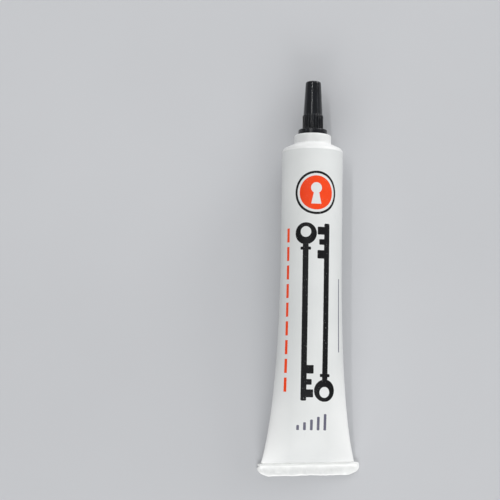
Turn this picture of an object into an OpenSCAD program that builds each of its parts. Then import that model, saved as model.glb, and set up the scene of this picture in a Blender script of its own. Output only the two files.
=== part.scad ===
// Squeeze tube of powdered graphite for locks, with a screw cap over a slim nozzle.
// The tube lies on its back: +Z is up and +Y points from the end seal to the cap.
// The origin is under the middle of the tube, on the surface that it lies on.

/* [Sleeve] */
// Outer diameter of the sleeve's round part
sleeve_d = 22; // [18:0.5:28]
// Thickness of the sleeve's wall
sleeve_wall = 0.5; // [0.4:0.05:0.9]
// Length of the round part, from the shoulder's rim
round_len = 35.4; // [20:0.1:60]
// Length over which the sleeve goes from round to flat
taper_len = 76.3; // [50:0.1:110]

/* [End seal] */
// Height of the end seal along the tube
seal_h = 4.9; // [3.5:0.1:9]
// Thickness of the end seal
seal_t = 1.4; // [1:0.1:2.4]
// How far the end seal stands out past the sleeve at each side
seal_overhang = 1.6; // [1:0.1:3]
// Corner radius at the end seal's foot
seal_foot_r = 3.8; // [1:0.1:4.5]
// Corner radius at the end seal's top
seal_top_r = 0.9; // [0.3:0.1:1.2]
// Radius of the melted ridge across the end seal's front
ridge_r = 0.6; // [0.3:0.05:0.9]

/* [Head] */
// Slope of the shoulder, in degrees from square to the axis
shoulder_angle = 25; // [15:1:35]
// Radius of the shoulder's outer edge
shoulder_edge_r = 1.8; // [0.8:0.1:2.5]
// Outer diameter of the neck
neck_d = 13.4; // [12.5:0.1:15]
// Height of the neck above the shoulder
neck_h = 3.4; // [2:0.1:6]
// Radius of the neck's top edge
neck_edge_r = 0.7; // [0.3:0.1:1]
// Diameter of the neck's bore
neck_bore_d = 8.8; // [8:0.1:9.4]
// Thickness of the shoulder's wall
head_wall = 1.2; // [0.8:0.1:1.6]
// Length of the skirt inside the sleeve
skirt_len = 3; // [1:0.1:8]
// Thickness of the skirt
skirt_wall = 1; // [0.6:0.1:1.4]

/* [Nozzle] */
// Diameter of the flange on the neck
flange_d = 10.5; // [9.6:0.1:11.5]
// Height of the flange
flange_h = 2; // [1:0.1:4]
// Length of the threaded stub above the flange
stub_len = 5.2; // [4.8:0.1:5.8]
// Height of the nozzle above the flange
nozzle_h = 15.8; // [13:0.1:22]
// Diameter of the nozzle's tip
tip_d = 2.4; // [2:0.1:2.8]
// Length of the straight tip
tip_len = 5.2; // [2:0.1:7]
// Diameter of the outlet
outlet_d = 1.2; // [0.8:0.1:1.4]
// Diameter of the channel through the stub
channel_d = 2.6; // [1.6:0.1:3]
// Wall of the hollow plug below the flange
plug_wall = 1; // [0.6:0.1:1.6]
// How far the plug's barb stands out under the neck
barb_depth = 0.35; // [0.1:0.05:0.6]
// Height of the plug's barb
barb_h = 1.2; // [0.6:0.1:2]

/* [Thread] */
// Outer diameter of the thread on the stub
thread_d = 5.6; // [5.2:0.1:5.7]
// Depth of the thread
thread_depth = 0.4; // [0.25:0.05:0.5]
// Rise of the thread in one turn
thread_lead = 3; // [2.8:0.1:3.2]
// Turns of the thread
thread_turns = 1.1; // [0.6:0.1:1.1]
// Width of the thread at its root
thread_root_w = 1.1; // [0.8:0.1:1.2]
// Width of the thread at its crest
thread_crest_w = 0.6; // [0.4:0.1:0.8]

/* [Cap] */
// Diameter of the cap's foot between its ribs
cap_foot_d = 6.9; // [6.8:0.1:8]
// Diameter of the cap's top
cap_top_d = 5.6; // [5.2:0.1:6.4]
// Radius of the cap's top edge
cap_edge_r = 0.7; // [0.3:0.1:1]
// Thickness of the cap's end wall
cap_end_wall = 1.1; // [0.8:0.1:2]
// Height of the ribbed foot
rib_h = 5.3; // [3:0.1:8]
// Number of ribs
rib_count = 24; // [12:1:28]
// Radius of one rib
rib_r = 0.3; // [0.2:0.05:0.35]
// Thickness of the soft sealing disc
wad_t = 0.9; // [0.5:0.1:1.6]
// Diameter of the soft sealing disc
wad_d = 4; // [3.4:0.1:4.2]

/* [Graphite] */
// Height of the powder's surface above the surface that the tube lies on
powder_top = 13.4; // [8:0.1:16]
// Empty length between the powder and the shoulder's rim
headspace = 9; // [6:1:19]

/* [Hidden] */
$fn = 64;

// Overrun of every cut
cut = 1;
// Gap between the welded skirt and the sleeve
weld_gap = 0.05;
// Gap between the plug and the neck's bore
plug_gap = 0.02;
// Gap between the barb and the head
barb_gap = 0.1;
// Gap between the flange and the cap's mouth
mouth_gap = 0.1;
// Radial gap between the two threads
thread_gap = 0.15;
// How far a thread's root is sunk into its wall
thread_sink = 0.2;
// Gap between the sealing disc and the cap
wad_gap = 0.05;
// Gap between the sealing disc and the nozzle's tip
seat_gap = 0.05;
// Gap between the powder and the sleeve's inside
powder_gap = 0.3;
// Step where the tapered part meets the round part and the end seal
weld_step = 0.02;
seal_step = 0.1;
// Distance of the ridge from the end seal's top edge
ridge_drop = 0.3;
// Chamfers on the nozzle's tip and the cap's mouth
tip_chamfer = 0.3;
mouth_chamfer = 0.2;
// Radial step from the stub to the nozzle's cone
cone_step = 0.15;
// Plain band between the cap's ribs and its cone
band_h = 0.5;

// Share of half the sleeve's girth that lies across the flat end
flat_share = 0.975;
// Shares of the thread's length over which it fades in and out
fade_share = 0.12;
// Shares of the flare that follow the square, the cube and the eighth power of the way along the taper
flare_shares = [0.49, 0.32, 0.19];
// How pointed the section's sides grow at the flat end, as a share of the round section's bluntness
edge_share = 0.4;
// Points round a section, sections along the taper, steps in an arc and in one thread turn
sides = 48;
sections = 16;
arc_steps = 8;
turn_steps = 24;
// Sections that the cavity and the powder stop short of the end seal
cavity_stop = 2;
powder_stop = 3;

sleeve_r = sleeve_d / 2;
cavity_r = sleeve_r - sleeve_wall;
flat_w = PI * sleeve_r * flat_share;
seal_w = flat_w + 2 * seal_overhang;
facet_ease = cavity_r / cos(180 / sides) - cavity_r + weld_step;

// Heights along the axis, from the end seal's foot
rim_z = seal_h + taper_len + round_len;
round_z = seal_h + taper_len;
neck_r = neck_d / 2;
cone_start_r = sleeve_r - shoulder_edge_r * (1 - sin(shoulder_angle));
shoulder_h = shoulder_edge_r * cos(shoulder_angle) + (cone_start_r - neck_r) * tan(shoulder_angle);
neck_top_z = rim_z + shoulder_h + neck_h;
stub_z = neck_top_z + flange_h;
wad_z = stub_z + nozzle_h + seat_gap;
cap_z = stub_z + mouth_gap;
cap_inner_top_z = wad_z + wad_t + wad_gap;
cap_top_z = cap_inner_top_z + cap_end_wall;
total_len = cap_top_z;

bore_r = neck_bore_d / 2;
plug_r = bore_r - plug_gap;
barb_r = bore_r + barb_depth;
root_r = thread_d / 2 - thread_depth;
cap_bore_r = thread_d / 2 + thread_gap;
pocket_r = wad_d / 2 + wad_gap;
skirt_r = cavity_r - weld_gap;

// Points of an arc round a centre, from one angle to another
function arc(centre, r, from, to) = [
    for (i = [0 : arc_steps])
        let (a = from + (to - from) * i / arc_steps)
            centre + r * [cos(a), sin(a)]
];

// Half width and half depth of the sleeve, from round at 0 to flat at 1
function flare(u) = flare_shares * [pow(u, 2), pow(u, 3), pow(u, 8)];
function thinning(u) = (sqrt(1 - pow(u, 2)) + sqrt(1 - pow(u, 3))) / 2;
function half_width(u) = sleeve_r + (flat_w / 2 - sleeve_r) * flare(u);
function half_depth(u) =
    let (flat = seal_t / 2 - seal_step)
        flat + (sleeve_r - flat) * thinning(u);

// Sections crowd together towards the flat end, where the sleeve thins fastest
function station(i) = sin(90 * i / sections);
function station_z(u) = round_z - taper_len * u;

// One section of the taper, with its back on the surface that the tube lies on
function section(u, inset, z) =
    let (
        a = half_width(u) - inset,
        b = half_depth(u) - inset,
        middle = sleeve_r - half_depth(u) - seal_step * u,
        power = 1 + edge_share * pow(u, 2)
    )
    [for (k = [0 : sides - 1])
        let (t = 360 * k / sides, c = cos(t))
            [a * sin(t), middle - b * sign(c) * pow(abs(c), power), z]];

function ring_centre(ring) = [
    for (j = [0 : 2])
        let (values = [for (p = ring) p[j]])
            (min(values) + max(values)) / 2
];
function flatten(lists) = [for (l = lists) each l];

// Side faces between rings of n points that follow each other, starting at a point
function side_faces(count, n, start) = flatten([
    for (i = [0 : count - 2], k = [0 : n - 1])
        let (
            a = start + i * n + k,
            b = start + i * n + (k + 1) % n
        )
        [[a, b, b + n], [a, b + n, a + n]]
]);
function turned(faces) = [for (f = faces) [f[0], f[2], f[1]]];
function fan(start, n, centre) = [for (k = [0 : n - 1]) [centre, start + k, start + (k + 1) % n]];

// A closed solid through rings of points
module loft(rings) {
    n = len(rings[0]);
    count = len(rings);
    points = concat(flatten(rings), [ring_centre(rings[0]), ring_centre(rings[count - 1])]);
    faces = concat(
        side_faces(count, n, 0),
        turned(fan(0, n, count * n)),
        fan((count - 1) * n, n, count * n + 1)
    );
    polyhedron(points, faces);
}

// A blind shell: an outer and an inner run of rings, joined at their first rings
module blind_shell(outer, inner) {
    n = len(outer[0]);
    inner_start = len(outer) * n;
    centres = inner_start + len(inner) * n;
    points = concat(
        flatten(outer),
        flatten(inner),
        [ring_centre(outer[len(outer) - 1]), ring_centre(inner[len(inner) - 1])]
    );
    lip = flatten([
        for (k = [0 : n - 1])
            let (k2 = (k + 1) % n)
            [[k2, k, inner_start + k], [k2, inner_start + k, inner_start + k2]]
    ]);
    faces = concat(
        side_faces(len(outer), n, 0),
        fan(inner_start - n, n, centres),
        turned(side_faces(len(inner), n, inner_start)),
        turned(fan(centres - n, n, centres + 1)),
        lip
    );
    polyhedron(points, faces);
}

// A thread's ridge, sunk into the wall that carries it; a wall outside it turns it inwards
module thread_ridge(wall_r, crest_r) {
    inward = crest_r < wall_r;
    sunk_r = inward ? wall_r + thread_sink : wall_r - thread_sink;
    end_r = (wall_r + sunk_r) / 2;
    start_z = thread_root_w / 2 + thread_gap;
    steps = ceil(turn_steps * thread_turns);
    rings = [
        for (i = [0 : steps])
            let (
                share = i / steps,
                turn = 360 * thread_turns * share,
                fade = min(1, share / fade_share, (1 - share) / fade_share),
                r = end_r + (crest_r - end_r) * fade,
                z = start_z + thread_lead * thread_turns * share
            )
            [for (p = [
                [sunk_r, -thread_root_w / 2],
                [r, -thread_crest_w / 2],
                [r, thread_crest_w / 2],
                [sunk_r, thread_root_w / 2]
            ]) [p[0] * cos(turn), p[0] * sin(turn), z + p[1]]]
    ];
    n = len(rings[0]);
    last = steps * n;
    faces = concat(
        side_faces(steps + 1, n, 0),
        [[0, 2, 1], [0, 3, 2]],
        [[last, last + 1, last + 2], [last, last + 2, last + 3]]
    );
    polyhedron(flatten(rings), inward ? turned(faces) : faces);
}

// Lays the upright tube on its back
module lay_down() {
    translate([0, -total_len / 2, sleeve_r])
        rotate([-90, 0, 0])
            children();
}

// Front view of the end seal: tight corners at its top and wide ones at its foot
module seal_outline() {
    foot_r = min(seal_foot_r, seal_h - seal_top_r);
    side = seal_w / 2;
    right = concat(
        arc([side - foot_r, foot_r], foot_r, -90, 0),
        arc([side - seal_top_r, seal_h - seal_top_r], seal_top_r, 0, 90)
    );
    left = [for (i = [len(right) - 1 : -1 : 0]) [-right[i][0], right[i][1]]];
    polygon(concat(right, left));
}

module end_seal() {
    translate([0, sleeve_r, 0])
        rotate([90, 0, 0])
            linear_extrude(seal_t)
                seal_outline();
    ridge_len = flat_w;
    translate([-ridge_len / 2, sleeve_r - seal_t, seal_h - ridge_r - ridge_drop])
        rotate([0, 90, 0])
            cylinder(h = ridge_len, r = ridge_r);
}

// Printed sleeve: round at the shoulder, flattened and sealed at its foot
module sleeve() {
    outer = [for (i = [0 : sections]) let (u = station(i)) section(u, weld_step, station_z(u))];
    inner = [
        for (i = [0 : sections - cavity_stop])
            let (u = station(i))
                section(u, sleeve_wall - facet_ease, station_z(u))
    ];
    color("white")
        lay_down() {
            translate([0, 0, round_z])
                difference() {
                    cylinder(h = round_len, r = sleeve_r);
                    translate([0, 0, -cut])
                        cylinder(h = round_len + 2 * cut, r = cavity_r);
                }
            blind_shell(outer, inner);
            end_seal();
        }
}

// Height of the shoulder's underside at a radius, from the rim
function underside_z(r) =
    shoulder_h + (neck_r - r) * tan(shoulder_angle) - head_wall / cos(shoulder_angle);

// Shoulder and neck, welded into the sleeve
module head() {
    top = shoulder_h + neck_h;
    skirt_inner_r = skirt_r - skirt_wall;
    profile = concat(
        [
            [skirt_inner_r, -skirt_len],
            [skirt_r, -skirt_len],
            [skirt_r, 0]
        ],
        arc([sleeve_r - shoulder_edge_r, 0], shoulder_edge_r, 0, 90 - shoulder_angle),
        [[neck_r, shoulder_h]],
        arc([neck_r - neck_edge_r, top - neck_edge_r], neck_edge_r, 0, 90),
        [
            [bore_r, top],
            [bore_r, underside_z(bore_r)],
            [skirt_inner_r, underside_z(skirt_inner_r)]
        ]
    );
    color("white")
        lay_down()
            translate([0, 0, rim_z])
                rotate_extrude()
                    polygon(profile);
}

// Flanged insert with the threaded stub and the slim nozzle
module nozzle() {
    flange_r = flange_d / 2;
    tip_r = tip_d / 2;
    outlet_r = outlet_d / 2;
    channel_r = channel_d / 2;
    hollow_r = plug_r - plug_wall;
    barb_top = underside_z(barb_r) - shoulder_h - neck_h - barb_gap;
    barb_foot = barb_top - barb_h;
    tip_z = flange_h + nozzle_h;
    cone_top = tip_z - tip_len;
    stub_top = flange_h + stub_len;
    profile = [
        [hollow_r, barb_foot],
        [plug_r, barb_foot],
        [barb_r, barb_top],
        [plug_r, barb_top],
        [plug_r, 0],
        [flange_r, 0],
        [flange_r, flange_h],
        [root_r, flange_h],
        [root_r, stub_top],
        [root_r - cone_step, stub_top],
        [tip_r, cone_top],
        [tip_r, tip_z - tip_chamfer],
        [tip_r - tip_chamfer, tip_z],
        [outlet_r, tip_z],
        [outlet_r, cone_top],
        [channel_r, stub_top],
        [channel_r, flange_h],
        [hollow_r, 0]
    ];
    color("#222222")
        lay_down()
            translate([0, 0, neck_top_z]) {
                rotate_extrude()
                    polygon(profile);
                translate([0, 0, flange_h])
                    thread_ridge(root_r, thread_d / 2);
            }
}

// Slim screw cap with a ribbed foot
module cap() {
    foot_r = cap_foot_d / 2;
    top_r = cap_top_d / 2;
    height = cap_top_z - cap_z;
    inner_top = cap_inner_top_z - cap_z;
    pocket_z = inner_top - 2 * wad_t;
    bore_top = stub_len + mouth_gap;
    profile = concat(
        [
            [cap_bore_r + mouth_chamfer, 0],
            [foot_r, 0],
            [foot_r, rib_h + band_h]
        ],
        arc([top_r - cap_edge_r, height - cap_edge_r], cap_edge_r, 0, 90),
        [
            [0, height],
            [0, inner_top],
            [pocket_r, inner_top],
            [pocket_r, pocket_z],
            [cap_bore_r, bore_top],
            [cap_bore_r, mouth_chamfer]
        ]
    );
    color("#1a1a1a")
        lay_down()
            translate([0, 0, cap_z]) {
                rotate_extrude()
                    polygon(profile);
                for (i = [0 : rib_count - 1])
                    rotate([0, 0, 360 * i / rib_count])
                        translate([foot_r, 0, mouth_chamfer])
                            cylinder(h = rib_h - mouth_chamfer, r = rib_r);
                translate([0, 0, -mouth_gap])
                    rotate([0, 0, 180])
                        thread_ridge(cap_bore_r, cap_bore_r - thread_depth);
            }
}

// Soft disc in the cap's end, which closes the outlet
module cap_wad() {
    color("gainsboro")
        lay_down()
            translate([0, 0, wad_z])
                cylinder(h = wad_t, d = wad_d);
}

// A section of the powder: the cavity's section, level on top
function powder_section(u, z) = [
    for (p = section(u, sleeve_wall + powder_gap, z))
        [p[0], max(p[1], sleeve_r - powder_top), p[2]]
];

// Loose powder, settled on the tube's back
module graphite_charge() {
    rings = concat(
        [powder_section(0, rim_z - headspace)],
        [
            for (i = [0 : sections - powder_stop])
                let (u = station(i))
                    powder_section(u, station_z(u))
        ]
    );
    color("#303236")
        lay_down()
            loft(rings);
}

sleeve();
head();
nozzle();
cap();
cap_wad();
graphite_charge();
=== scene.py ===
import math
from collections import namedtuple

import bpy
from mathutils import Matrix, Vector, noise


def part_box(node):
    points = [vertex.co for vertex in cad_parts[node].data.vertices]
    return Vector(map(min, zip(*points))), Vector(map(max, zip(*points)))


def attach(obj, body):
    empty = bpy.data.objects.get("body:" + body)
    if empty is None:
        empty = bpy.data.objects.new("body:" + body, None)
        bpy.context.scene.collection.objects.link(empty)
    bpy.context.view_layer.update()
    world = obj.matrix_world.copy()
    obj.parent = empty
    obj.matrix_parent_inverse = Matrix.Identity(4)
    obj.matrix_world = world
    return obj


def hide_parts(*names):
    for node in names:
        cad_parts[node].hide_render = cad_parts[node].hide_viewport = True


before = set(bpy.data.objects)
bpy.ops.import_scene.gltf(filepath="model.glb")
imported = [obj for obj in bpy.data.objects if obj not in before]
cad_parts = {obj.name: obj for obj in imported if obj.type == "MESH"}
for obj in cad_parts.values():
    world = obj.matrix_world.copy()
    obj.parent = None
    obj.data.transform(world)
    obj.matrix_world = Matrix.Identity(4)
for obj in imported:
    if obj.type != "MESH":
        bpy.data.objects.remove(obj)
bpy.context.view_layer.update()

# Lengths are in millimetres, and MM turns them into metres
MM = 0.001

# Where the solids stand: y runs along the tube, from the end seal up to the cap
FOOT_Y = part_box("sleeve")[0].y / MM
RIM_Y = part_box("sleeve")[1].y / MM
NECK_TOP_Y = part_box("head")[1].y / MM
CAP_MOUTH_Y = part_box("cap")[0].y / MM
CAP_TOP_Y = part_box("cap")[1].y / MM
DISC_LOW_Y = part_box("cap_wad")[0].y / MM
DISC_TOP_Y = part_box("cap_wad")[1].y / MM
POWDER_TOP_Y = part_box("graphite_charge")[1].y / MM
POWDER_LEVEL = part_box("graphite_charge")[1].z / MM

# The sleeve's form: round below its rim, then a taper down to the flat, welded end
SLEEVE_R = 11.0
AXIS_Z = SLEEVE_R
WALL = 0.5
ROUND_LEN = 35.4
ROUND_Y = RIM_Y - ROUND_LEN
SEAL_H = 4.9
SEAL_T = 1.4
FLAT_Y = FOOT_Y + SEAL_H
GIRTH = 2 * math.pi * SLEEVE_R
FLAT_SHARE = 0.975
FLAT_HALF_W = GIRTH / 4 * FLAT_SHARE
FLAT_HALF_T = 0.6
FLAT_LIFT = 0.1
# The flare to the flat width: what share of it each power of the way down brings
FLARE = {2: 0.49, 3: 0.32, 8: 0.19}
EDGE_PINCH = 0.4
# The end seal was pressed a little askew, which shows from this share of the taper on
SKEW = math.radians(2.1)
SKEW_FROM = 0.86


def clamp(value, low=0.0):
    return min(1.0, max(low, value))


def smooth(share):
    share = clamp(share)
    return share * share * (3 - 2 * share)


def signed_power(value, power):
    return math.copysign(abs(value) ** power, value)


def bell(at, middle, width):
    return math.exp(-(((at - middle) / width) ** 2))


def ripple(height, *place):
    """Smooth noise of a height, at a place in the noise."""
    return height * noise.noise(place)


def way(y):
    """How far down the taper a place is: 0 where the sleeve is round, 1 where it is flat."""
    return clamp((ROUND_Y - y) / (ROUND_Y - FLAT_Y))


def half_width(u):
    flare = sum(share * u**power for power, share in FLARE.items())
    return SLEEVE_R + (FLAT_HALF_W - SLEEVE_R) * flare


def half_depth(u):
    thinning = (math.sqrt(1 - u**2) + math.sqrt(1 - u**3)) / 2
    return FLAT_HALF_T + (SLEEVE_R - FLAT_HALF_T) * thinning


def middle_z(u):
    return half_depth(u) + FLAT_LIFT * u


def pinch(u):
    """The power that draws the sides of a section to an edge."""
    return 1 + EDGE_PINCH * u**2


# Modelling by hand: a ring is added, then extruded, moved and resized along the tube

# An oval section: half its width, half its depth, its y and the height of its middle
Ring = namedtuple("Ring", "width depth y z")
MERGE_GAP = 0.002


def merge_open_ends(sides):
    """In edit mode, deletes the two end faces of a drawn piece and merges the points that meet."""
    bpy.ops.mesh.select_all(action="DESELECT")
    bpy.ops.mesh.select_face_by_sides(number=sides, type="EQUAL")
    bpy.ops.mesh.delete(type="ONLY_FACE")
    bpy.ops.mesh.select_all(action="SELECT")
    bpy.ops.mesh.remove_doubles(threshold=MERGE_GAP * MM)


def drawn(name, sides, rings, through=False):
    """A closed piece drawn through rings; through is for one whose last ring meets its first."""
    first = rings[0]
    centre = (0, first.y * MM, first.z * MM)
    bpy.ops.object.select_all(action="DESELECT")
    bpy.ops.mesh.primitive_circle_add(
        vertices=sides,
        radius=first.width * MM,
        fill_type="NGON",
        location=centre,
        rotation=(math.pi / 2, 0, 0),
    )
    piece = bpy.context.active_object
    piece.name = name
    bpy.ops.object.mode_set(mode="EDIT")
    bpy.ops.mesh.select_all(action="SELECT")
    bpy.ops.transform.resize(value=(1, 1, first.depth / first.width), center_override=centre)
    for last, ring in zip(rings, rings[1:]):
        step = (0, (ring.y - last.y) * MM, (ring.z - last.z) * MM)
        bpy.ops.mesh.extrude_region_move(TRANSFORM_OT_translate={"value": step})
        bpy.ops.transform.resize(
            value=(ring.width / last.width, 1, ring.depth / last.depth),
            center_override=(0, ring.y * MM, ring.z * MM),
        )
    if through:
        merge_open_ends(sides)
    bpy.ops.mesh.select_all(action="SELECT")
    bpy.ops.mesh.normals_make_consistent(inside=False)
    bpy.ops.object.mode_set(mode="OBJECT")
    bpy.ops.object.transform_apply(location=True, rotation=True, scale=True)
    return piece


def round_ring(r, y):
    return Ring(r, r, y, AXIS_Z)


def turned(name, sides, profile, through=False):
    """A round piece on the tube's axis, through a profile of radius and y."""
    return drawn(name, sides, [round_ring(r, y) for r, y in profile], through)


def rounded(r, y, radius, start, end, steps):
    """A rounded corner in a profile, about its centre, from one angle in degrees to another."""
    angles = [math.radians(start + (end - start) * i / steps) for i in range(steps + 1)]
    return [(r + radius * math.cos(a), y + radius * math.sin(a)) for a in angles]


def upper_edge(r, y, radius, steps):
    """The rounded outer edge at the top of a round wall."""
    return rounded(r - radius, y - radius, radius, 0, 90, steps)


def lower_edge(r, y, radius, steps):
    """The rounded outer edge at the foot of a round wall."""
    return rounded(r - radius, y + radius, radius, 270, 360, steps)


def pushed(piece, move):
    """Moves each point of a piece; move takes and gives back a place in millimetres."""
    for vertex in piece.data.vertices:
        vertex.co = Vector(move(*(vertex.co / MM))) * MM


def smoothed(piece, angle=35):
    """Shades a piece smooth, but for edges sharper than an angle in degrees."""
    bpy.ops.object.select_all(action="DESELECT")
    piece.select_set(True)
    bpy.context.view_layer.objects.active = piece
    bpy.ops.object.shade_smooth_by_angle(angle=math.radians(angle))


def dressed(piece, body, node, slot, *materials):
    """Gives a piece its materials and the body it moves with, and hides the solid it stands for; slot is
    not used.
    """
    for made in materials:
        piece.data.materials.append(made)
    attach(piece, body)
    if node:
        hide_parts(node)


# Shader maths


class Shade:
    """A socket in a material; sums and products of shades add Math nodes."""

    def __init__(self, tree, socket):
        self.tree = tree
        self.socket = socket

    def node(self, kind, sockets, out=0, **settings):
        made = self.tree.nodes.new("ShaderNode" + kind)
        for key, value in settings.items():
            setattr(made, key, value)
        for key, value in sockets.items():
            if isinstance(value, Shade):
                self.tree.links.new(value.socket, made.inputs[key])
            else:
                made.inputs[key].default_value = value
        return Shade(self.tree, made.outputs[out])

    def maths(self, operation, *values, clamp=False):
        return self.node("Math", dict(enumerate(values)), operation=operation, use_clamp=clamp)

    def __add__(self, other):
        return self.maths("ADD", self, other)

    def __radd__(self, other):
        return self.maths("ADD", other, self)

    def __sub__(self, other):
        return self.maths("SUBTRACT", self, other)

    def __rsub__(self, other):
        return self.maths("SUBTRACT", other, self)

    def __mul__(self, other):
        return self.maths("MULTIPLY", self, other)

    def __rmul__(self, other):
        return self.maths("MULTIPLY", other, self)

    def __neg__(self):
        return self.maths("MULTIPLY", self, -1.0)

    def __abs__(self):
        return self.maths("ABSOLUTE", self)

    def root(self):
        return self.maths("SQRT", self)

    def at_least(self, other):
        return self.maths("MAXIMUM", self, other)

    def at_most(self, other):
        return self.maths("MINIMUM", self, other)

    def ramp(self, low, high):
        """0 at low, 1 at high, and even between; a low above high falls instead."""
        share = 1 / (high - low)
        return self.maths("MULTIPLY_ADD", self, share, -low * share, clamp=True)

    def mix(self, first, second):
        """A colour between two others, this being the share of the second."""
        # A Mix node's colours are its sockets 6 and 7, and their mixture is its output 2
        return self.node("Mix", {0: self, 6: first, 7: second}, out=2, data_type="RGBA")

    def axis(self, name):
        """One coordinate of a place: X, Y or Z."""
        return self.node("SeparateXYZ", {0: self}, out=name)

    def drawn_out(self, share):
        """Coordinates on which a pattern runs longer along the tube, the more the smaller the share."""
        return self.node("Mapping", {"Vector": self, "Scale": (1.0, share, 1.0)})

    def grain(self, scale, detail=2.0, rough=0.5):
        """Noise on these coordinates, as fine as scale to the metre."""
        return self.node("TexNoise", {"Vector": self, "Scale": scale, "Detail": detail, "Roughness": rough})

    def cells(self, scale, out):
        """Small cells on these coordinates, as fine as scale to the metre."""
        return self.node("TexVoronoi", {"Vector": self, "Scale": scale}, out=out)

    def bump(self, strength, depth):
        """A normal from this height; depth is in millimetres."""
        return self.node("Bump", {"Strength": strength, "Distance": depth * MM, "Height": self})


def colour(red, green, blue):
    """A colour written as 0 to 255 on a screen, in the linear values that shaders take."""
    linear = []
    for value in (red, green, blue):
        screen = value / 255
        linear.append(screen / 12.92 if screen <= 0.04045 else ((screen + 0.055) / 1.055) ** 2.4)
    return (*linear, 1.0)


def finish(made, **sockets):
    """Sets or links the main shader's sockets, with _ for a space in their names."""
    tree = made.node_tree
    shader = tree.nodes["Principled BSDF"]
    for key, value in sockets.items():
        socket = shader.inputs[key.replace("_", " ")]
        if isinstance(value, Shade):
            tree.links.new(value.socket, socket)
        else:
            socket.default_value = value


def material(name, **sockets):
    """A material, and its object coordinates to build the finish on."""
    made = bpy.data.materials.new(name)
    made.use_nodes = True
    tree = made.node_tree
    place = Shade(tree, tree.nodes.new("ShaderNodeTexCoord").outputs["Object"])
    finish(made, **sockets)
    return made, place


# The colours of the finishes

WHITE = colour(240, 241, 240)
OFF_WHITE = colour(222, 224, 223)
# Painted light: a paler white laid on the sides of the film's flat end
SIDE_LIGHT_WHITE = colour(253, 253, 252)
SCUFF_GREY = colour(150, 152, 156)
ORANGE = colour(252, 77, 22)
ORANGE_DEEP = colour(243, 66, 14)
INK = colour(3, 3, 5)
INK_THIN = colour(10, 11, 15)
GREY_INK = colour(98, 97, 116)
HEAD_SHADE = colour(242, 243, 242)
HEAD_WHITE = colour(252, 252, 251)
GRIME_GREY = colour(158, 160, 164)
MELT_SHADE = colour(250, 251, 249)
MELT_WHITE = colour(255, 255, 254)
# Painted shade: the grey laid below the bead's roll
PAINTED_SHADE_GREY = colour(208, 210, 212)
BLACK = colour(6, 8, 13)
BLACK_FLOW = colour(13, 16, 23)
DUST_GREY = colour(112, 116, 124)
FOAM_SHADE = colour(204, 204, 200)
FOAM_WHITE = colour(224, 224, 220)
SMUDGE_GREY = colour(110, 112, 118)
GRAPHITE = colour(38, 39, 42)
GRAPHITE_PALE = colour(74, 76, 80)
FLAKE_GREY = colour(142, 145, 150)
PAPER_SHADE = colour(198, 199, 202)
PAPER = colour(204, 205, 208)


# The print on the sleeve: each shape is a distance on the film laid flat, below zero inside it

INK_EDGE = 0.09
INK_FEATHER = 0.16
BADGE_X = 1.1
BADGE_Y = 29.2
HANGING_KEY_X = -2.5
STANDING_KEY_X = 5.2
KEYS_Y = -13.0
DASH_HALF_PITCH = 3.3
DASH_HALF_LEN = 2.5
DASH_START_Y = -42.0
TICK_COUNT = 5
TICK_PITCH = 2.5
TICK_FIRST_X = -4.3
TICK_FOOT_Y = -54.6


def nearest(first, *others):
    """Distance to the nearest of several shapes."""
    for other in others:
        first = first.at_most(other)
    return first


def spot_shape(x, y, r):
    return (x * x + y * y).root() - r


def bar_shape(x, y, half_w, half_h, corner_r=0.0):
    over_x = abs(x) - (half_w - corner_r)
    over_y = abs(y) - (half_h - corner_r)
    far_x = over_x.at_least(0.0)
    far_y = over_y.at_least(0.0)
    inside = over_x.at_least(over_y).at_most(0.0)
    return (far_x * far_x + far_y * far_y).root() + inside - corner_r


def badge_shape(x, y):
    """A round badge with a keyhole left open; the keyhole's slot widens downwards."""
    slot_half_w = 0.95 - 0.22 * y
    slot = (abs(x) - slot_half_w).at_least(abs(y + 1.3) - 2.7)
    keyhole = nearest(spot_shape(x, y - 1.7, r=1.95), slot)
    return spot_shape(x, y, r=6.1).at_least(-keyhole)


def ring_shape(x, y, r=7.35, half_w=0.42):
    """The ring round the badge."""
    return abs(spot_shape(x, y, r)) - half_w


def key_shape(x, y):
    """A key that hangs from its bow, with its bits to the right of the shank."""
    bow = spot_shape(x, y - 27.6, r=3.9).at_least(-spot_shape(x, y - 28.2, r=1.9))
    collar = bar_shape(x, y - 22.3, half_w=1.9, half_h=0.55, corner_r=0.3)
    shank = bar_shape(x, y + 3.6, half_w=1.05, half_h=27.6, corner_r=0.5)
    upper_bit = bar_shape(x - 1.7, y + 20.2, half_w=1.8, half_h=1.5, corner_r=0.3)
    middle_bit = bar_shape(x - 1.4, y + 24.6, half_w=1.5, half_h=1.0, corner_r=0.3)
    lower_bit = bar_shape(x - 1.7, y + 28.6, half_w=1.8, half_h=1.4, corner_r=0.3)
    return nearest(bow, collar, shank, upper_bit, middle_bit, lower_bit)


def broken_line_shape(across, along):
    """A line down the left side, cut into dashes."""
    line = bar_shape(across + 9.7, along + 12.3, half_w=0.62, half_h=29.7)
    from_dash = along.maths("PINGPONG", along - DASH_START_Y, DASH_HALF_PITCH) - DASH_HALF_PITCH
    return line.at_least(abs(from_dash) - DASH_HALF_LEN)


def side_rule_shape(across, along):
    """A thin line down the right side."""
    return bar_shape(across - 11.6, along + 14.0, half_w=0.28, half_h=13.0, corner_r=0.2)


def ticks_shape(across, along):
    """Ticks that stand on one line and grow taller to the right."""
    ticks = []
    for i in range(TICK_COUNT):
        half_h = 0.9 + 0.5 * i
        x = across - (TICK_FIRST_X + TICK_PITCH * i)
        y = along - (TICK_FOOT_Y + half_h)
        ticks.append(bar_shape(x, y, half_w=0.5, half_h=half_h, corner_r=0.3))
    return nearest(*ticks)


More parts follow.
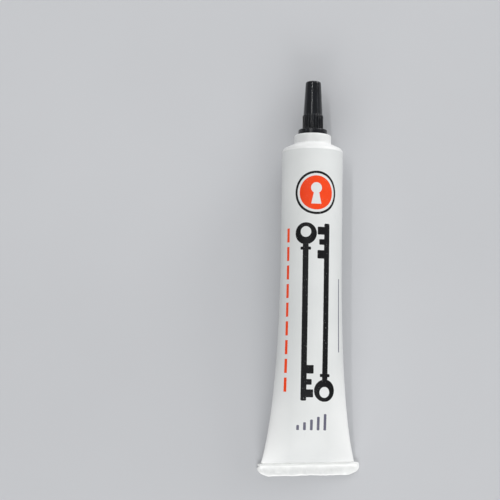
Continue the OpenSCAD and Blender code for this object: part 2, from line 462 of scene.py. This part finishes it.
def film_colour(across, along, cloud, scuffs):
    """White film: faint clouds and grey scuffs, with painted light making it paler towards the flat end and
    along that end's sides.
    """
    # Faint clouds, plus painted light: the along ramp makes the film paler towards the flat end
    base = (cloud.ramp(0.3, 0.75) * 0.5 + along.ramp(-24.0, -44.0) * 0.22).mix(OFF_WHITE, WHITE)
    # Painted light: the sides of the flat end are made paler
    painted_side_light = abs(across).ramp(7.0, 15.5) * along.ramp(-28.0, -48.0)
    base = (painted_side_light * 0.8).mix(base, SIDE_LIGHT_WHITE)
    return (scuffs * 0.16).mix(base, SCUFF_GREY)


def printed_white():
    """Satin white film with a badge, two keys, a broken line, a thin line and ticks printed on it."""
    made, place = material("printed_white", IOR=1.5, Specular_IOR_Level=0.28)
    flat_film = place.node("UVMap", {}, uv_map="print_map")
    across = (flat_film.axis("X") - 0.5) * GIRTH
    along = flat_film.axis("Y") * (RIM_Y - FOOT_Y) + FOOT_Y
    feather = (place.grain(2600, detail=2.0) - 0.5) * INK_FEATHER

    def inked(*shapes):
        return (nearest(*shapes) + feather).ramp(INK_EDGE / 2, -INK_EDGE / 2)

    badge_x = across - BADGE_X
    badge_y = along - BADGE_Y
    hanging_key = key_shape(across - HANGING_KEY_X, along - KEYS_Y)
    standing_key = key_shape(STANDING_KEY_X - across, KEYS_Y - along)
    orange = inked(badge_shape(badge_x, badge_y), broken_line_shape(across, along))
    black = inked(hanging_key, standing_key, ring_shape(badge_x, badge_y))
    grey = inked(ticks_shape(across, along), side_rule_shape(across, along))

    cloud = place.grain(55, detail=3.0)
    scuffs = place.drawn_out(0.22).grain(520, detail=4.0, rough=0.6).ramp(0.66, 0.78)
    scuffs = scuffs * place.grain(60, detail=2.0).ramp(0.48, 0.7)
    speck = place.grain(3200, detail=1.0)
    laid = 1 - speck.ramp(0.72, 0.78) * 0.5
    base = film_colour(across, along, cloud, scuffs)
    base = (orange * laid).mix(base, cloud.ramp(0.35, 0.65).mix(ORANGE, ORANGE_DEEP))
    base = (grey * laid).mix(base, GREY_INK)
    base = (black * laid).mix(base, speck.ramp(0.3, 0.8).mix(INK, INK_THIN))

    ink = orange.at_least(black).at_least(grey)
    rough = 0.46 + (place.grain(380, detail=3.0) - 0.5) * 0.16 + scuffs * 0.15
    height = place.grain(900, detail=3.0) * 0.6 + place.grain(160, detail=2.0) * 0.4 + ink * 0.12
    finish(made, Base_Color=base, Roughness=rough, Normal=height.bump(strength=0.35, depth=0.05))
    return made


# The unprinted finishes


def bare_white(name, shade, white, dull, depth):
    """Unprinted white plastic: faint clouds, fine orange peel and a little handling grime."""
    made, place = material(name, IOR=1.5)
    base = place.grain(130, detail=3.0).ramp(0.3, 0.72).mix(shade, white)
    grime = place.grain(420, detail=4.0, rough=0.65).ramp(0.62, 0.8) * 0.14
    base = grime.mix(base, GRIME_GREY)
    rough = dull + (place.grain(500, detail=3.0) - 0.5) * 0.18
    height = place.grain(1100, detail=3.0) * 0.5 + place.grain(260, detail=3.0) * 0.5
    finish(made, Base_Color=base, Roughness=rough, Normal=height.bump(strength=0.4, depth=depth))
    return made


def melted_white():
    """White plastic that was melted and squeezed out: glossy and lumpy, with mottled painted shade below
    its roll.
    """
    made, place = material("melted_white", IOR=1.5)
    up = place.axis("Y") * (1 / MM) - FOOT_Y
    long_place = place.drawn_out(0.5)
    waver = (long_place.grain(300, detail=2.0) - 0.5) * 1.6
    # Painted shade: a mottled grey band below the bead's roll
    shade_below_roll = (up + waver).ramp(3.6, 3.0) * up.ramp(0.3, 1.0)
    mottle = long_place.grain(620, detail=4.0, rough=0.65)
    base = long_place.grain(130, detail=3.0).ramp(0.3, 0.72).mix(MELT_SHADE, MELT_WHITE)
    base = (shade_below_roll * mottle.ramp(0.35, 0.7) * 0.24).mix(base, PAINTED_SHADE_GREY)
    rough = 0.24 + (place.grain(500, detail=3.0) - 0.5) * 0.12
    lumps = place.grain(1100, detail=3.0) * 0.4 + mottle * 0.6
    finish(made, Base_Color=base, Roughness=rough, Normal=lumps.bump(strength=0.4, depth=0.12))
    return made


def moulded_black(name, dull, dust):
    """Black moulded plastic: fine flow marks, a soft sheen and grey powder dust."""
    made, place = material(name, IOR=1.5)
    flow = place.drawn_out(0.3).grain(700, detail=3.0)
    base = flow.ramp(0.3, 0.7).mix(BLACK, BLACK_FLOW)
    patches = place.grain(140, detail=2.0).ramp(0.4, 0.68)
    film = place.grain(900, detail=4.0, rough=0.65).ramp(0.56, 0.8) * patches
    base = (film * dust).mix(base, DUST_GREY)
    rough = dull + (flow - 0.5) * 0.1 + film * 0.25
    height = flow * 0.6 + place.grain(2400, detail=2.0) * 0.4
    finish(made, Base_Color=base, Roughness=rough, Normal=height.bump(strength=0.035, depth=0.03))
    return made


def soft_foam():
    """Pale closed-cell foam: small cells and grey smudges of powder."""
    made, place = material("soft_foam", IOR=1.45)
    cells = place.cells(3600.0, out="Distance")
    base = cells.ramp(0.1, 0.6).mix(FOAM_SHADE, FOAM_WHITE)
    smudge = place.grain(1500, detail=3.0).ramp(0.45, 0.75) * 0.35
    base = smudge.mix(base, SMUDGE_GREY)
    rough = 0.7 + cells * 0.2
    finish(made, Base_Color=base, Roughness=rough, Normal=cells.bump(strength=0.5, depth=0.08))
    return made


def graphite_powder():
    """Fine dark powder: clumps, and flakes that glint."""
    made, place = material("graphite_powder", IOR=1.6)
    clumps = place.grain(260, detail=5.0, rough=0.65)
    flakes = place.cells(5200.0, out="Color")
    glint = flakes.node("SeparateColor", {0: flakes}, out="Red").ramp(0.82, 0.95)
    base = clumps.ramp(0.3, 0.75).mix(GRAPHITE, GRAPHITE_PALE)
    base = (glint * 0.6).mix(base, FLAKE_GREY)
    rough = 0.72 - glint * 0.4 + (clumps - 0.5) * 0.2
    height = clumps * 0.7 + place.grain(3000, detail=3.0) * 0.3
    normal = height.bump(strength=0.8, depth=0.2)
    finish(made, Base_Color=base, Roughness=rough, Metallic=glint * 0.7, Normal=normal)
    return made


def floor_paper():
    """Pale matt paper with a faint change of tone."""
    made, place = material("floor_paper", Roughness=0.8)
    tone = place.grain(9, detail=3.0).ramp(0.2, 0.8).mix(PAPER_SHADE, PAPER)
    finish(made, Base_Color=tone)
    return made


# The sleeve: its cavity is drawn up to the rim, and its outside down to the flat end

SLEEVE_SIDES = 120
STRAIGHT_STEPS = 6
CAVITY_STEPS = 32
OUTSIDE_STEPS = 44
TAIL_LEN = 1.2
TAIL_INSET = 0.1
# Nearer the middle than this share of the outside, a point belongs to the cavity
INSIDE_SHARE = 0.985


def film_ring(u, inset):
    """The film's section at a share of the taper, drawn in from its outside."""
    y = ROUND_Y - (ROUND_Y - FLAT_Y) * u
    return Ring(half_width(u) - inset, half_depth(u) - inset, y, middle_z(u))


def taper_rings(steps, inset, short=0):
    """Sections down the taper, closer together towards the flat end, and short of it by some."""
    return [film_ring(math.sin(math.pi / 2 * i / steps), inset) for i in range(steps + 1 - short)]


def sleeve_rings():
    heights = [ROUND_Y + ROUND_LEN * i / STRAIGHT_STEPS for i in range(1, STRAIGHT_STEPS + 1)]
    cavity = taper_rings(CAVITY_STEPS, WALL, short=4)[::-1]
    cavity += [round_ring(SLEEVE_R - WALL, y) for y in heights]
    outside = [round_ring(SLEEVE_R, y) for y in reversed(heights)]
    outside += taper_rings(OUTSIDE_STEPS, 0)
    tail = Ring(FLAT_HALF_W - TAIL_INSET, FLAT_HALF_T - TAIL_INSET, FLAT_Y - TAIL_LEN, middle_z(1))
    return cavity, [*outside, tail]


def flattened(x, y, z, inset):
    """Draws the sides of an oval section to an edge, and skews it near the flat end."""
    u = way(y)
    depth = half_depth(u) - inset
    lift = clamp((z - middle_z(u)) / depth, low=-1.0)
    z = middle_z(u) + depth * signed_power(lift, pinch(u))
    skewed = smooth((u - SKEW_FROM) / (1 - SKEW_FROM))
    return x, y + x * math.tan(SKEW) * skewed, z


def film_form(x, y, z):
    """Flattens the film and lays soft hollows into its front, away from both ends of the taper."""
    u = way(y)
    lift = (z - middle_z(u)) / half_depth(u)
    inside = math.hypot(x / half_width(u), lift) < INSIDE_SHARE
    hollow = ripple(0.34, x / 13, y / 17, 3.7) + ripple(0.08, x / 5, y / 8, 9.1)
    hollow *= max(0.0, lift) * smooth(u * 2.2) * smooth((1 - u) * 14)
    x, y, z = flattened(x, y, z, WALL if inside else 0.0)
    return x, y, z + hollow


def girth_share(u, angle, steps=40):
    """Share of half the section's girth between the middle of its front and an angle."""
    width = half_width(u)
    depth = half_depth(u)
    power = pinch(u)
    spots = []
    for i in range(steps + 1):
        a = math.pi * i / steps
        spots.append(Vector((width * math.sin(a), depth * signed_power(math.cos(a), power))))
    runs = [0.0]
    for start, end in zip(spots, spots[1:]):
        runs.append(runs[-1] + (end - start).length)
    at = angle / math.pi * steps
    low = min(steps - 1, int(at))
    return (runs[low] + (runs[low + 1] - runs[low]) * (at - low)) / runs[-1]


def print_map(piece, sides):
    """Lays the film flat: across its girth from the middle of the front, and along its length."""
    mesh = piece.data
    layer = mesh.uv_layers.new(name="print_map")
    spots = []
    for vertex in mesh.vertices:
        around = vertex.index % sides
        turn = 2 * math.pi * min(around, sides - around) / sides
        y = vertex.co.y / MM
        spots.append((girth_share(way(y), turn) / 2, (y - FOOT_Y) / (RIM_Y - FOOT_Y)))
    for face in mesh.polygons:
        side = 1 if sum(mesh.vertices[i].co.x for i in face.vertices) > 0 else -1
        for loop, i in zip(face.loop_indices, face.vertices):
            share, height = spots[i]
            layer.data[loop].uv = (0.5 + side * share, height)


cavity_rings, outside_rings = sleeve_rings()
sleeve = drawn("tube_sleeve", SLEEVE_SIDES, cavity_rings + outside_rings)
print_map(sleeve, SLEEVE_SIDES)
pushed(sleeve, film_form)
smoothed(sleeve)
bare_film = bare_white("bare_white_film", OFF_WHITE, WHITE, dull=0.45, depth=0.05)
dressed(sleeve, "tube", "sleeve", "printed_sleeve", printed_white(), bare_film)
# The print ends at the rim, so the cavity takes the second material
cavity_points = (len(cavity_rings) - 1) * SLEEVE_SIDES
for face in sleeve.data.polygons:
    if min(face.vertices) < cavity_points:
        face.material_index = 1


# The melted bead across the end seal: a round bar, drawn along y and then pushed into form

BEAD_OVERHANG = 1.6
BEAD_HALF_W = FLAT_HALF_W + BEAD_OVERHANG
BEAD_SHIFT = 0.3
BEAD_SIDES = 56
BEAD_STEPS = 160
BEAD_CROWDING = 0.7
BEAD_SQUARE = 0.5
BEAD_FOOT = 0.25
# Its ends are rounded to an edge, a hair inside its full width
BEAD_TIP = BEAD_HALF_W - 0.01
BEAD_END_R = 0.8
RIGHT_CORNER_R = 1.0
LEFT_CORNER_R = 0.6
CORNER_POWER = 1.8
# How far the bead climbs the film, and over what width that fades at its sides
CLIMB = 0.8
CLIMB_FADE = 0.7
# The roll along its top and the crease below that, measured down from the seal's top
ROLL_DROP = 0.5
ROLL_HALF_H = 0.9
ROLL_RISE = 0.6
CREASE_DROP = 1.1
CREASE_DEPTH = 0.14
CREASE_WIDTH = 0.22
LUMPS_FADE = 1.3
NOTCH_LEN = 1.2


def foot_corner(side, run, rise):
    """How far the foot has risen near an end: a blunt slope over the last run of the bead."""
    share = max(0.0, side - (BEAD_HALF_W - run)) / run
    return rise * (1 - max(0.0, 1 - share**CORNER_POWER) ** (1 / CORNER_POWER))


def bead_low_edge(side):
    corners = foot_corner(side, run=4.8, rise=2.9) + foot_corner(-side, run=4.4, rise=2.7)
    waves = ripple(0.18, side / 4.2, 1.3, 0) + ripple(0.12, side / 1.7, 5.1, 0)
    return BEAD_FOOT + corners + waves


def bead_high_edge(side):
    corner_r = RIGHT_CORNER_R if side > 0 else LEFT_CORNER_R
    past = max(0.0, abs(side) - (BEAD_HALF_W - corner_r))
    corners = math.sqrt(max(0.0, corner_r**2 - past**2)) - corner_r
    climb = CLIMB * smooth((FLAT_HALF_W - abs(side)) / CLIMB_FADE)
    return SEAL_H + corners + ripple(0.1, side / 3.1, 8.3, 0) + climb


def bead_rise(side, height):
    """How far the bead's front stands out: the roll, the crease below it, and lumps."""
    roll_at = SEAL_H - ROLL_DROP + ripple(0.12, side / 6, 2.2, 0)
    roll = math.sqrt(max(0.0, 1 - ((height - roll_at) / ROLL_HALF_H) ** 2))
    crease = CREASE_DEPTH * bell(height, roll_at - CREASE_DROP, CREASE_WIDTH)
    lumps = ripple(0.2, side / 2.4, height / 1.3, 4.4) + ripple(0.07, side / 0.9, height / 0.7, 7.7)
    return roll * (ROLL_RISE + ripple(0.1, side / 2.0, 6.6, 0)) - crease + lumps * (1 - 0.6 * roll)


def left_notch(side, height):
    """How far a nick and the swelling under it move the bead's left end."""
    nick = 0.42 * bell(height, 3.9, 0.28) - 0.25 * bell(height, 3.2, 0.3)
    return nick * smooth((NOTCH_LEN - BEAD_HALF_W - side) / NOTCH_LEN)


def bead_form(x, y, z):
    """Pushes a point of the round bar to its place on the bead, whose length runs across the tube."""
    around = math.atan2(x, z)
    up = signed_power(math.sin(around), BEAD_SQUARE)
    front = signed_power(math.cos(around), BEAD_SQUARE)
    low = bead_low_edge(y)
    height = low + (bead_high_edge(y) - low) * (up + 1) / 2
    rise = bead_rise(y, height) * smooth((BEAD_HALF_W - abs(y)) / LUMPS_FADE)
    end_way = clamp((BEAD_TIP - abs(y)) / BEAD_END_R)
    half_thick = SEAL_T / 2 * math.sqrt(1 - (1 - end_way) ** 2)
    across = y + BEAD_SHIFT + left_notch(y, height)
    return across, FOOT_Y + height, SEAL_T / 2 + half_thick * front + rise * max(0.0, front)


def bead_rings():
    """Rings along the bar, closer together towards its ends."""
    rings = []
    for i in range(BEAD_STEPS + 1):
        crowded = -math.cos(math.pi * i / BEAD_STEPS)
        even = 2 * i / BEAD_STEPS - 1
        share = crowded * BEAD_CROWDING + even * (1 - BEAD_CROWDING)
        rings.append(Ring(SEAL_H / 2, SEAL_H / 2, share * BEAD_HALF_W, 0.0))
    return rings


bead = drawn("melt_bead", BEAD_SIDES, bead_rings())
pushed(bead, bead_form)
bpy.ops.object.mode_set(mode="EDIT")
merge_open_ends(BEAD_SIDES)
bpy.ops.transform.rotate(value=-SKEW, orient_axis="Z", center_override=(0, FLAT_Y * MM, 0))
bpy.ops.mesh.normals_make_consistent(inside=False)
bpy.ops.object.mode_set(mode="OBJECT")
smoothed(bead, 60)
dressed(bead, "tube", None, "printed_sleeve", melted_white())


# The shoulder and neck

HEAD_SIDES = 128
SLOPE = 25
SLOPE_TAN = math.tan(math.radians(SLOPE))
SLOPE_COS = math.cos(math.radians(SLOPE))
HEAD_WALL = 1.2
NECK_R = 6.7
NECK_H = 3.4
NECK_BASE_Y = NECK_TOP_Y - NECK_H
NECK_EDGE = 0.7
NECK_FILLET = 0.55
BORE_R = 4.4
BORE_CHAMFER = 0.1
SHOULDER_EDGE = 1.8
SHOULDER_Y = RIM_Y + 0.02
SKIRT_R = SLEEVE_R - WALL - 0.05
SKIRT_IN_R = SKIRT_R - 1.0
SKIRT_LOW_Y = RIM_Y - 3.0
SKIRT_CHAMFER = 0.15
SKIRT_CHAMFER_H = 0.2


def under_shoulder(r):
    """Where the inside of the sloped shoulder is, at a radius."""
    return NECK_BASE_Y + (NECK_R - r) * SLOPE_TAN - HEAD_WALL / SLOPE_COS


fillet_r = NECK_R + NECK_FILLET
fillet_y = NECK_BASE_Y - NECK_FILLET * SLOPE_TAN + NECK_FILLET / SLOPE_COS
head_profile = [
    (SKIRT_IN_R, SKIRT_LOW_Y),
    (SKIRT_R - SKIRT_CHAMFER, SKIRT_LOW_Y),
    (SKIRT_R, SKIRT_LOW_Y + SKIRT_CHAMFER_H),
    (SKIRT_R, SHOULDER_Y),
    *rounded(SLEEVE_R - SHOULDER_EDGE, SHOULDER_Y, SHOULDER_EDGE, 0, 90 - SLOPE, steps=10),
    *rounded(fillet_r, fillet_y, NECK_FILLET, 270 - SLOPE, 180, steps=6),
    *upper_edge(NECK_R, NECK_TOP_Y, NECK_EDGE, steps=8),
    (BORE_R + BORE_CHAMFER, NECK_TOP_Y),
    (BORE_R, NECK_TOP_Y - BORE_CHAMFER),
    (BORE_R, under_shoulder(BORE_R)),
    (SKIRT_IN_R, under_shoulder(SKIRT_IN_R)),
    (SKIRT_IN_R, SKIRT_LOW_Y),
]
head = turned("shoulder_neck", HEAD_SIDES, head_profile, through=True)
smoothed(head)
moulded_white = bare_white("moulded_white", HEAD_SHADE, HEAD_WHITE, dull=0.38, depth=0.03)
dressed(head, "tube", "head", "white_head", moulded_white)


# The nozzle insert: a barbed plug, a flange, a threaded stub and a slim spout

NOZZLE_SIDES = 96
PLUG_R = 4.38
PLUG_BORE_R = 3.38
BARB_R = 4.75
BARB_H = 1.2
BARB_Y = under_shoulder(BARB_R) - 0.1
PLUG_LOW_Y = BARB_Y - BARB_H
FLANGE_R = 5.25
FLANGE_H = 2.0
FLANGE_LOW_EDGE = 0.2
FLANGE_TOP_EDGE = 0.35
STUB_R = 2.4
STUB_Y = NECK_TOP_Y + FLANGE_H
STUB_TOP_Y = STUB_Y + 5.2
STUB_FILLET = 0.2
STUB_CHAMFER = 0.1
CHANNEL_R = 1.3
SPOUT_R = 2.25
SPOUT_TOP_Y = STUB_Y + 15.8
TIP_R = 1.2
TIP_EDGE = 0.3
TIP_LOW_Y = SPOUT_TOP_Y - 5.2
OUTLET_R = 0.6
OUTLET_CHAMFER = 0.05

# Its thread, and the cap's
THREAD_LEAD = 3.0
THREAD_TURNS = 1.1
THREAD_STEPS = 44
THREAD_LOW_Y = STUB_Y + 0.7
THREAD_SUNK = 0.2
THREAD_FADE = 0.12
CREST_HALF_H = 0.3
ROOT_HALF_H = 0.55
RIDGE_CORNERS = 4


def swept_ridge(wall_r, start_turn):
    """A square bar swept round the tube's axis, right-handed, one lead up for each turn."""
    centre = (0, 0, AXIS_Z * MM)
    climb = (0, THREAD_LEAD * THREAD_TURNS / THREAD_STEPS * MM, 0)
    turn = 2 * math.pi * THREAD_TURNS / THREAD_STEPS
    bpy.ops.object.select_all(action="DESELECT")
    bpy.ops.mesh.primitive_plane_add(size=MM, location=(wall_r * MM, THREAD_LOW_Y * MM, AXIS_Z * MM))
    ridge = bpy.context.active_object
    bpy.ops.object.mode_set(mode="EDIT")
    bpy.ops.mesh.select_all(action="SELECT")
    bpy.ops.transform.rotate(value=-start_turn, orient_axis="Y", center_override=centre)
    for _ in range(THREAD_STEPS):
        bpy.ops.mesh.extrude_region_move(TRANSFORM_OT_translate={"value": climb})
        bpy.ops.transform.rotate(value=-turn, orient_axis="Y", center_override=centre)
    bpy.ops.object.mode_set(mode="OBJECT")
    bpy.ops.object.transform_apply(location=True, rotation=True, scale=True)
    return ridge


def shape_ridge(ridge, wall_r, crest_r):
    """Slopes the flanks of a swept bar, sinks its root into the wall and fades its ends."""
    sunk_r = wall_r + math.copysign(THREAD_SUNK, wall_r - crest_r)
    faded_r = (wall_r + sunk_r) / 2
    for vertex in ridge.data.vertices:
        x, y, z = vertex.co / MM
        share = vertex.index // RIDGE_CORNERS / THREAD_STEPS
        middle_y = THREAD_LOW_Y + THREAD_LEAD * THREAD_TURNS * share
        r = math.hypot(x, z - AXIS_Z)
        if (r > wall_r) == (crest_r > wall_r):
            full = min(1, share / THREAD_FADE, (1 - share) / THREAD_FADE)
            new_r = faded_r + (crest_r - faded_r) * full
            half_h = CREST_HALF_H
        else:
            new_r = sunk_r
            half_h = ROOT_HALF_H
        y = middle_y + math.copysign(half_h, y - middle_y)
        vertex.co = Vector((x * new_r / r, y, AXIS_Z + (z - AXIS_Z) * new_r / r)) * MM


def add_thread(piece, wall_r, crest_r, start_turn):
    """Joins a thread's ridge to a round wall of a piece."""
    ridge = swept_ridge(wall_r, start_turn)
    shape_ridge(ridge, wall_r, crest_r)
    bpy.ops.object.mode_set(mode="EDIT")
    bpy.ops.mesh.select_all(action="SELECT")
    bpy.ops.mesh.normals_make_consistent(inside=False)
    bpy.ops.object.mode_set(mode="OBJECT")
    piece.select_set(True)
    bpy.context.view_layer.objects.active = piece
    bpy.ops.object.join()


nozzle_profile = [
    (PLUG_BORE_R, PLUG_LOW_Y),
    (PLUG_R, PLUG_LOW_Y),
    (BARB_R, BARB_Y),
    (PLUG_R, BARB_Y),
    (PLUG_R, NECK_TOP_Y),
    *lower_edge(FLANGE_R, NECK_TOP_Y, FLANGE_LOW_EDGE, steps=4),
    *upper_edge(FLANGE_R, STUB_Y, FLANGE_TOP_EDGE, steps=6),
    *rounded(STUB_R + STUB_FILLET, STUB_Y + STUB_FILLET, STUB_FILLET, 270, 180, steps=4),
    (STUB_R, STUB_TOP_Y - STUB_CHAMFER),
    (STUB_R - STUB_CHAMFER, STUB_TOP_Y),
    (SPOUT_R, STUB_TOP_Y),
    (TIP_R, TIP_LOW_Y),
    *upper_edge(TIP_R, SPOUT_TOP_Y, TIP_EDGE, steps=5),
    (OUTLET_R + OUTLET_CHAMFER, SPOUT_TOP_Y),
    (OUTLET_R, SPOUT_TOP_Y - OUTLET_CHAMFER),
    (OUTLET_R, TIP_LOW_Y),
    (CHANNEL_R, STUB_TOP_Y),
    (CHANNEL_R, STUB_Y),
    (PLUG_BORE_R, NECK_TOP_Y),
    (PLUG_BORE_R, PLUG_LOW_Y),
]
nozzle = turned("nozzle_insert", NOZZLE_SIDES, nozzle_profile, through=True)
add_thread(nozzle, wall_r=STUB_R, crest_r=2.8, start_turn=0.0)
smoothed(nozzle)
nozzle_black = moulded_black("nozzle_black", dull=0.26, dust=0.22)
dressed(nozzle, "tube", "nozzle", "black_nozzle", nozzle_black)


# The screw cap; its profile's heights are above its mouth

CAP_H = CAP_TOP_Y - CAP_MOUTH_Y
CAP_BORE_R = 2.95
CAP_BORE_H = 5.3
MOUTH_CHAMFER = 0.2
SEAT_R = 2.05
SEAT_LOW_H = CAP_H - 2.9
ROOF_H = CAP_H - 1.1
CAP_FOOT_R = 3.45
FOOT_CHAMFER = 0.12
CAP_TOP_R = 2.8
CAP_TOP_EDGE = 0.7
RIB_COUNT = 24
RIB_R = 0.3
RIB_TOP = 5.3
RIB_LOW_FADE = 0.25
RIB_TOP_FADE = 0.4
CAP_SIDES = RIB_COUNT * 12
# Rings lie close together where the ribs' ends are rounded
RIB_LOW_ROWS = [0.12, 0.22, 0.32]
RIB_MIDDLE_ROWS = [1.2, 2.4, 3.6, 4.8]
RIB_TOP_ROWS = [5.0, 5.12, 5.22, 5.3, 5.4]


def rib_form(x, y, z):
    """Raises the rounded ribs round the cap's foot."""
    height = y - CAP_MOUTH_Y
    r = math.hypot(x, z - AXIS_Z)
    if r < CAP_FOOT_R - 0.2 or height > RIB_TOP + 0.15:
        return x, y, z
    turn = math.atan2(z - AXIS_Z, x) / (2 * math.pi) * RIB_COUNT
    off = (turn - round(turn)) * 2 * math.pi / RIB_COUNT * CAP_FOOT_R / RIB_R
    low_end = (height + 0.03) / RIB_LOW_FADE
    top_end = (RIB_TOP + 0.05 - height) / RIB_TOP_FADE
    rib = RIB_R * math.sqrt(max(0.0, 1 - off * off)) * math.sqrt(clamp(min(low_end, top_end)))
    return x * (r + rib) / r, y, AXIS_Z + (z - AXIS_Z) * (r + rib) / r


cap_profile = [
    (SEAT_R, ROOF_H),
    (SEAT_R, SEAT_LOW_H),
    (CAP_BORE_R, CAP_BORE_H),
    (CAP_BORE_R, MOUTH_CHAMFER),
    (CAP_BORE_R + MOUTH_CHAMFER, 0),
    (CAP_FOOT_R - FOOT_CHAMFER, 0),
    *[(CAP_FOOT_R, row) for row in RIB_LOW_ROWS + RIB_MIDDLE_ROWS + RIB_TOP_ROWS],
    (CAP_FOOT_R, 5.7),
    (CAP_FOOT_R - 0.02, 5.9),
    (CAP_TOP_R + 0.03, CAP_H - 1.2),
    *upper_edge(CAP_TOP_R, CAP_H, CAP_TOP_EDGE, steps=9),
    (1.0, CAP_H),
]
cap = turned("screw_cap", CAP_SIDES, [(r, CAP_MOUTH_Y + height) for r, height in cap_profile])
pushed(cap, rib_form)
add_thread(cap, wall_r=CAP_BORE_R, crest_r=2.55, start_turn=math.pi)
smoothed(cap, 42)
cap_black = moulded_black("cap_black", dull=0.17, dust=0.12)
dressed(cap, "cap", "cap", "black_cap", cap_black)


# The sealing disc, dented by the nozzle's tip

DISC_SIDES = 72
DISC_R = 2.0
DISC_EDGE = 0.12
DENT_DEPTH = 0.05
DENT_R = 1.3

disc_profile = [
    (0.5, DISC_LOW_Y + DENT_DEPTH + 0.01),
    (1.0, DISC_LOW_Y + DENT_DEPTH),
    (DENT_R, DISC_LOW_Y),
    *lower_edge(DISC_R, DISC_LOW_Y, DISC_EDGE, steps=4),
    *upper_edge(DISC_R, DISC_TOP_Y, DISC_EDGE, steps=4),
    (0.8, DISC_TOP_Y),
]
sealing_disc = turned("sealing_disc", DISC_SIDES, disc_profile)
smoothed(sealing_disc)
dressed(sealing_disc, "wad", "cap_wad", "soft_disc", soft_foam())


# The powder, settled on the sleeve's back

POWDER_SIDES = 96
POWDER_GAP = 0.9
POWDER_STRAIGHT_STEPS = 10
POWDER_TAPER_STEPS = 24
POWDER_DROP = 0.45


def powder_rings():
    fall = (POWDER_TOP_Y - ROUND_Y) / POWDER_STRAIGHT_STEPS
    heights = [POWDER_TOP_Y - fall * i for i in range(POWDER_STRAIGHT_STEPS)]
    straight = [round_ring(SLEEVE_R - POWDER_GAP, y) for y in heights]
    return straight + taper_rings(POWDER_TAPER_STEPS, POWDER_GAP, short=5)


def powder_form(x, y, z):
    """Levels the heap, a little below the solid's top, with a few small drifts."""
    drift = ripple(0.35, x / 5, y / 7, 1.9) + ripple(0.12, x / 1.6, y / 1.6, 6.2)
    x, y, z = flattened(x, y, z, POWDER_GAP)
    return x, y, min(z, POWDER_LEVEL - POWDER_DROP + drift)


powder = drawn("powder_fill", POWDER_SIDES, powder_rings())
pushed(powder, powder_form)
smoothed(powder, 50)
dressed(powder, "tube", "graphite_charge", "graphite", graphite_powder())


# Floor, light and camera, with the places of the lights in metres

FLOOR_SIZE = 14
WORLD_COLOUR = (0.96, 0.98, 0.99, 1)
WORLD_STRENGTH = 0.33
CAMERA_AIM = Vector((-22.1, 9.41, AXIS_Z)) * MM
CAMERA_FAR = 480 * MM
CAMERA_TILT = math.radians(6.0)
CAMERA_ROLL = math.radians(1.005)
SENSOR_W = 36
PHOTO_W_PX = 500
FOCAL_PX = 1330.7


def stood(thing, place, right, up, back):
    """Puts a light or a camera in its place, with its own axes along three directions."""
    turn = Matrix((right, up, back)).transposed().to_4x4()
    thing.matrix_world = Matrix.Translation(place) @ turn


def softbox(name, place, size, power, target=(0, 0, 0.01), along=(0, 0, 1)):
    """A soft light that faces a target; its second size runs along a direction."""
    bpy.ops.object.light_add(type="AREA")
    lamp = bpy.context.active_object
    lamp.name = name
    lamp.data.shape = "RECTANGLE"
    lamp.data.size, lamp.data.size_y = size
    lamp.data.energy = power
    back = (Vector(place) - Vector(target)).normalized()
    side = Vector(along).cross(back).normalized()
    stood(lamp, place, side, back.cross(side), back)


bpy.ops.object.select_all(action="DESELECT")
bpy.ops.mesh.primitive_plane_add(size=FLOOR_SIZE, location=(0, 0, 0))
floor = bpy.context.active_object
floor.name = "studio_floor"
floor.data.materials.append(floor_paper())

softbox("right_light", (0.83, 0.8, 0.34), (0.6, 0.6), 6.1)
softbox("head_light", (0.0, 1.05, 0.6), (1.2, 0.5), 3.3)
softbox("foot_light", (0.0, -0.98, 0.69), (1.2, 0.6), 9.5)
# A narrow light along the tube, for the thin highlight on the cap
softbox(
    "line_light",
    (-0.15, 0.21, 0.47),
    (0.014, 0.4),
    0.4,
    target=(0, 0.063, 0.011),
    along=(0, 1, 0),
)

world = bpy.data.worlds.new("studio")
bpy.context.scene.world = world
world.use_nodes = True
background = world.node_tree.nodes["Background"]
background.inputs["Color"].default_value = WORLD_COLOUR
background.inputs["Strength"].default_value = WORLD_STRENGTH

ahead = Vector((0, math.sin(CAMERA_TILT), -math.cos(CAMERA_TILT)))
level_right = Vector((1, 0, 0))
level_up = level_right.cross(ahead)
rolled_right = level_right * math.cos(CAMERA_ROLL) + level_up * math.sin(CAMERA_ROLL)
rolled_up = level_up * math.cos(CAMERA_ROLL) - level_right * math.sin(CAMERA_ROLL)
bpy.ops.object.camera_add()
camera = bpy.context.active_object
camera.name = "photo_camera"
stood(camera, CAMERA_AIM - ahead * CAMERA_FAR, rolled_right, rolled_up, -ahead)
camera.data.sensor_width = SENSOR_W
camera.data.lens = FOCAL_PX / PHOTO_W_PX * SENSOR_W
camera.data.clip_start = 0.01
bpy.context.scene.camera = camera
bpy.context.scene.view_settings.view_transform = "Standard"
